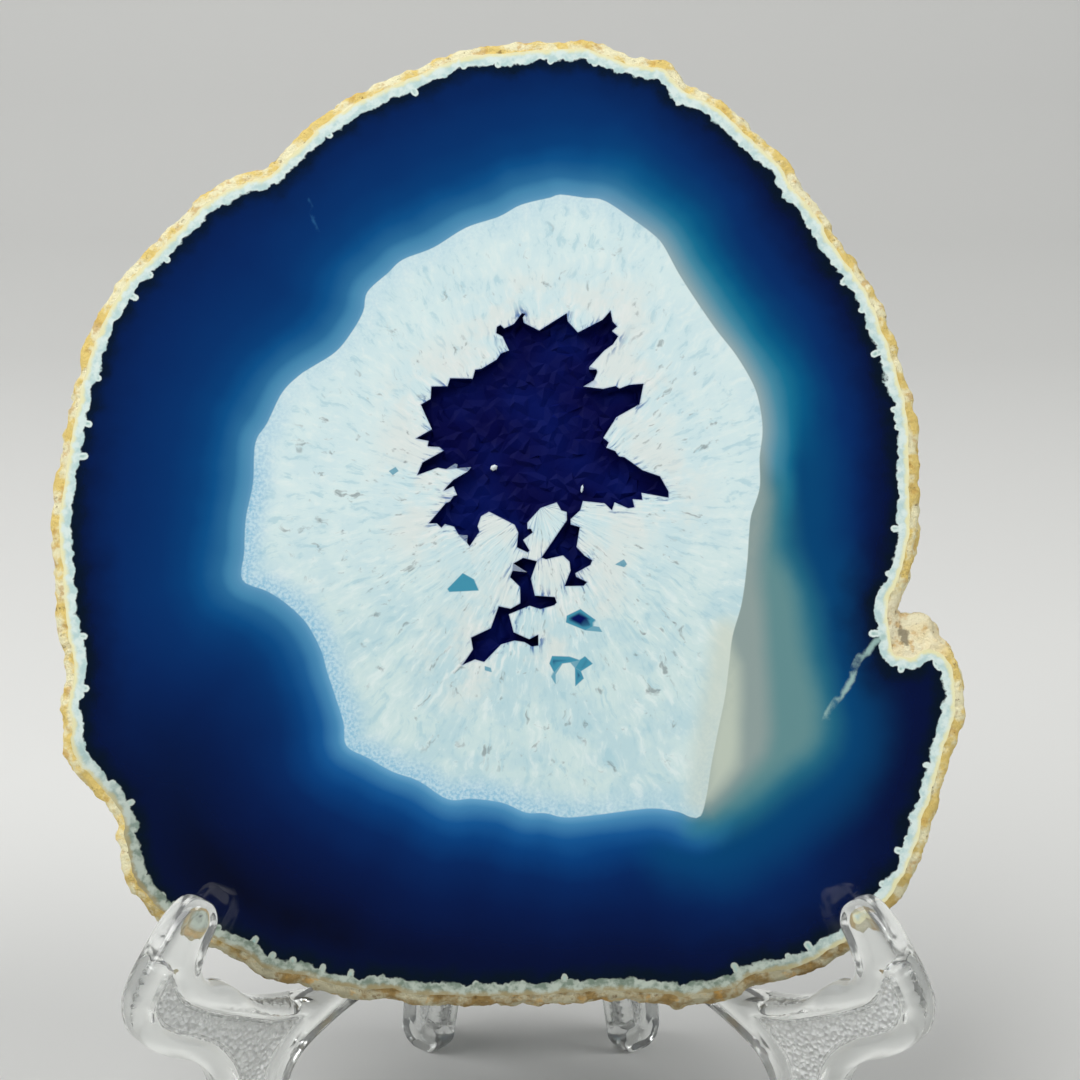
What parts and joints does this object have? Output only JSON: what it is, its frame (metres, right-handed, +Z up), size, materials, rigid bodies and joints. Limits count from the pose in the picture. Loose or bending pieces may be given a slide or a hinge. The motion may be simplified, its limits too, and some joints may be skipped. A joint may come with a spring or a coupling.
{
  "type": "polished agate slice on display stand",
  "caption": "Polished slice of blue-dyed banded agate with a rough rind and a small crystal-lined hollow, leaning back in a clear plastic easel of two crossed plates.",
  "frame": {"origin": "on the surface that the stand stands on, under the middle of the object's bounding box", "axes": "+Z up, the polished face with the crystal hollow looks along -Y and leans back 20 degrees, +X to the right as seen from the front"},
  "size_m": [0.1018, 0.0526, 0.1264],
  "materials": {
    "agate": "sawn and mirror polished on both faces, dyed blue, white quartz core, rough cream and ochre rind round the edge",
    "dyed_crystal": "natural glassy crystal faces, dyed deep navy",
    "clear_plastic": "clear moulded plastic, glossy rounded ribs, finely frosted webs"
  },
  "bodies": {
    "root": {"agate_slice": "agate", "crystal_lining": "dyed_crystal", "stand_left_half": "clear_plastic", "stand_right_half": "clear_plastic"}
  },
  "joints": []
}
